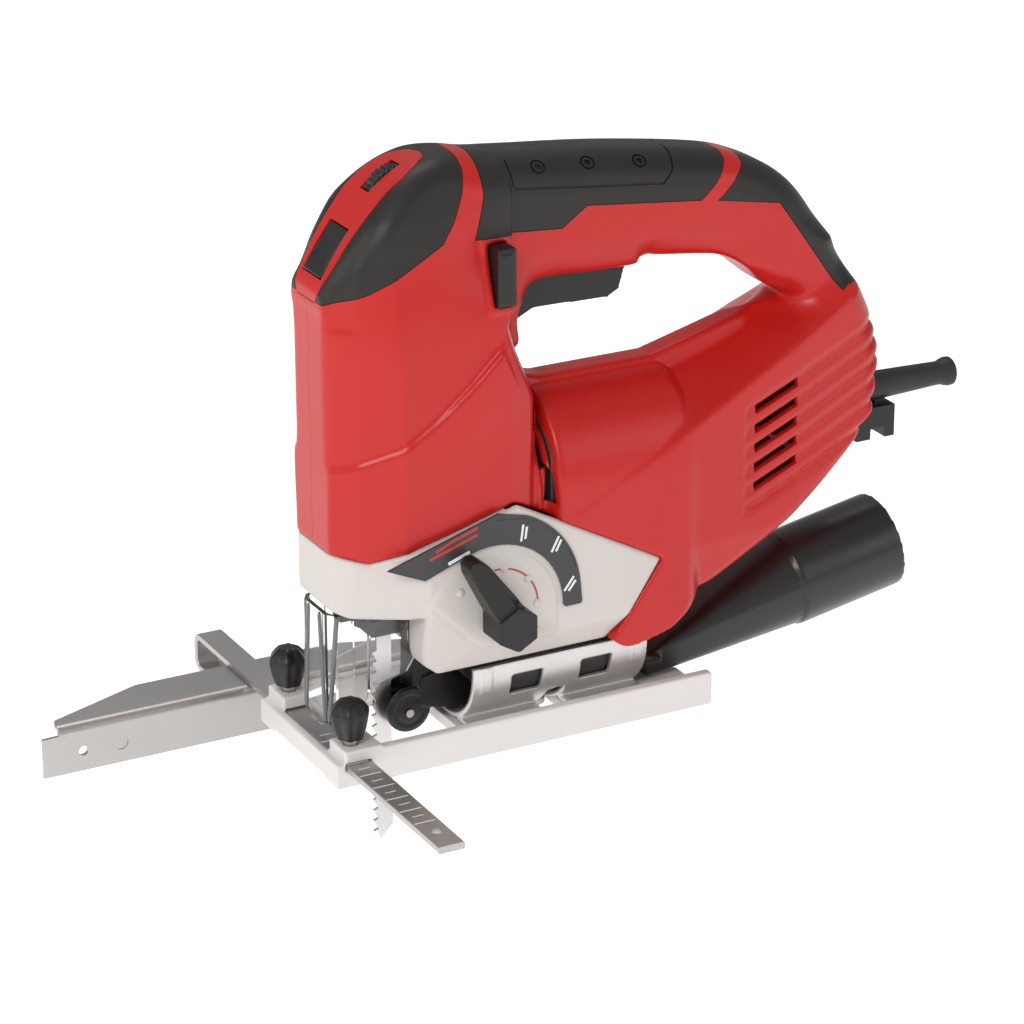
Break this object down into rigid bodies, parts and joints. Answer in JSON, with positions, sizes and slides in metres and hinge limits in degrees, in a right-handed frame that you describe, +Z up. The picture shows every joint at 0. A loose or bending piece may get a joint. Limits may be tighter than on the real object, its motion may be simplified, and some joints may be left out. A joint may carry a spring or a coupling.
{
  "type": "jigsaw power tool",
  "caption": "Corded jigsaw with a closed handle, tilting base plate, pendulum roller, sliding parallel guide, clear blade guard and plug-in dust outlet.",
  "frame": {"origin": "where the saw blade crosses the underside of the base plate, on the tool's centre plane", "axes": "+X towards the cord end, -Y the tool's left side, +Z up"},
  "size_m": [0.336, 0.195, 0.247],
  "materials": {
    "balance_alloy": "as cast",
    "base_alloy": "painted die casting",
    "black_plastic": "satin",
    "black_rubber": "matt",
    "blade_steel": "ground",
    "board": "satin",
    "bush_bronze": "sintered",
    "carbon": "matt",
    "cast_housing": "painted die casting, satin",
    "clamp_steel": "phosphated",
    "clear_guard": "clear",
    "copper": "enamelled",
    "core_steel": "laminated",
    "cradle_alloy": "satin",
    "felt": "pressed felt",
    "red_shell": "satin moulded nylon",
    "scale_plate": "satin printed plate",
    "screw_steel": "plain",
    "soft_grip": "soft-touch matt",
    "zinc_steel": "bright zinc plate"
  },
  "bodies": {
    "housing": {"housing_left": "red_shell", "housing_right": "red_shell", "housing_screws": "screw_steel", "nose_cheeks": "soft_grip", "nose_strip": "red_shell", "handle_grip": "soft_grip", "rear_grip": "soft_grip", "gear_housing": "cast_housing", "gear_housing_screws": "screw_steel", "step_plate": "scale_plate", "saddle": "cast_housing", "saddle_screws": "screw_steel", "gear_frame": "cast_housing", "gear_axle": "screw_steel", "plunger_bushes": "bush_bronze", "dust_seal": "felt", "field_core": "core_steel", "field_coils": "copper", "front_bearing": "screw_steel", "rear_bearing": "screw_steel", "bearing_cup": "black_rubber", "brush_guides": "bush_bronze", "carbon_brushes": "carbon", "switch_body": "black_plastic", "speed_board": "board", "dial_pin": "screw_steel", "cord_sleeve": "black_rubber", "cord_clamp": "black_plastic", "key_clip": "black_plastic", "blade_guard": "clear_guard", "lever_pin": "screw_steel"},
    "armature": {"armature_shaft": "screw_steel", "armature_core": "core_steel", "armature_windings": "copper", "commutator": "copper", "fan": "black_plastic"},
    "gear": {"drive_gear": "screw_steel", "crank_pin": "screw_steel", "balance_weight": "balance_alloy"},
    "plunger": {"plunger_rod": "screw_steel", "yoke": "screw_steel", "blade_clamp": "clamp_steel", "saw_blade": "blade_steel"},
    "clamp_lever": {"clamp_lever": "black_plastic"},
    "pendulum_lever": {"pendulum_lever": "black_plastic", "roller_axle": "screw_steel"},
    "guide_roller": {"guide_roller": "black_plastic"},
    "pendulum_knob": {"pendulum_knob": "black_plastic"},
    "trigger": {"trigger": "black_plastic"},
    "lock_button": {"lock_button": "black_plastic"},
    "speed_dial": {"speed_dial": "black_plastic"},
    "top_button": {"top_button": "black_plastic"},
    "tilt_screw": {"tilt_screw": "screw_steel"},
    "base": {"base_plate": "base_alloy", "bevel_cradle": "cradle_alloy"},
    "guide_knob_left": {"guide_knob_left": "black_plastic"},
    "guide_knob_right": {"guide_knob_right": "black_plastic"},
    "guide": {"guide_bar": "zinc_steel", "guide_fence": "zinc_steel"},
    "dust_nozzle": {"dust_nozzle": "black_plastic"}
  },
  "joints": [
    {"name": "armature_spin", "type": "hinge", "parent": "housing", "child": "armature", "pos_m": [0, 0, 0.088], "axis": [1, 0, 0], "continuous": true},
    {"name": "gear_spin", "type": "hinge", "parent": "housing", "child": "gear", "pos_m": [0, 0, 0.11405], "axis": [1, 0, 0], "continuous": true},
    {"name": "plunger_stroke", "type": "slide", "parent": "housing", "child": "plunger", "axis": [0, 0, 1], "range_m": [-0.01, 0.01]},
    {"name": "clamp_lever_turn", "type": "hinge", "parent": "plunger", "child": "clamp_lever", "pos_m": [-0.004, 0, 0.05], "axis": [0, 0, 1], "range_deg": [0, 30], "stiffness_Nm_per_rad": 0.02, "springref_deg": -5.73},
    {"name": "pendulum_swing", "type": "hinge", "parent": "housing", "child": "pendulum_lever", "pos_m": [0.015, 0, 0.05], "axis": [0, 1, 0], "range_deg": [-3.5, 0]},
    {"name": "roller_spin", "type": "hinge", "parent": "pendulum_lever", "child": "guide_roller", "pos_m": [0.0067, 0, 0.01], "axis": [0, 1, 0], "continuous": true},
    {"name": "pendulum_select", "type": "hinge", "parent": "housing", "child": "pendulum_knob", "pos_m": [0.0288, 0, 0.054], "axis": [0, 1, 0], "range_deg": [0, 135]},
    {"name": "trigger_pull", "type": "hinge", "parent": "housing", "child": "trigger", "pos_m": [0.086, 0, 0.162], "axis": [0, 1, 0], "range_deg": [0, 8], "stiffness_Nm_per_rad": 0.6, "springref_deg": -6.88},
    {"name": "lock_button_press", "type": "slide", "parent": "housing", "child": "lock_button", "axis": [0, 1, 0], "range_m": [0, 0.0025], "stiffness_N_per_m": 800, "springref_m": -0.001},
    {"name": "speed_dial_turn", "type": "hinge", "parent": "housing", "child": "speed_dial", "pos_m": [0.007, 0, 0.1936], "axis": [0, 1, 0], "range_deg": [0, 300]},
    {"name": "top_button_press", "type": "slide", "parent": "housing", "child": "top_button", "axis": [0.809, 0, -0.5878], "range_m": [0, 0.0012], "stiffness_N_per_m": 1000, "springref_m": -0.001},
    {"name": "tilt_screw_turn", "type": "hinge", "parent": "housing", "child": "tilt_screw", "pos_m": [0.058, 0, 0], "axis": [0, 0, 1], "range_deg": [0, 180]},
    {"name": "base_tilt", "type": "hinge", "parent": "housing", "child": "base", "pos_m": [0, 0, 0.025], "axis": [1, 0, 0], "range_deg": [-45, 45]},
    {"name": "knob_left_turn", "type": "hinge", "parent": "base", "child": "guide_knob_left", "pos_m": [-0.024, -0.0245, 0], "axis": [0, 0, 1], "range_deg": [0, 360]},
    {"name": "knob_right_turn", "type": "hinge", "parent": "base", "child": "guide_knob_right", "pos_m": [-0.024, 0.0245, 0], "axis": [0, 0, 1], "range_deg": [0, 360]},
    {"name": "guide_slide", "type": "slide", "parent": "base", "child": "guide", "axis": [0, 1, 0], "range_m": [-0.008, 0.06]},
    {"name": "nozzle_pull", "type": "slide", "parent": "base", "child": "dust_nozzle", "axis": [1, 0, 0], "range_m": [0, 0.022]}
  ],
  "couplings": [
    {"joint": "gear_spin", "follows": "armature_spin", "ratio": -0.18182}
  ]
}
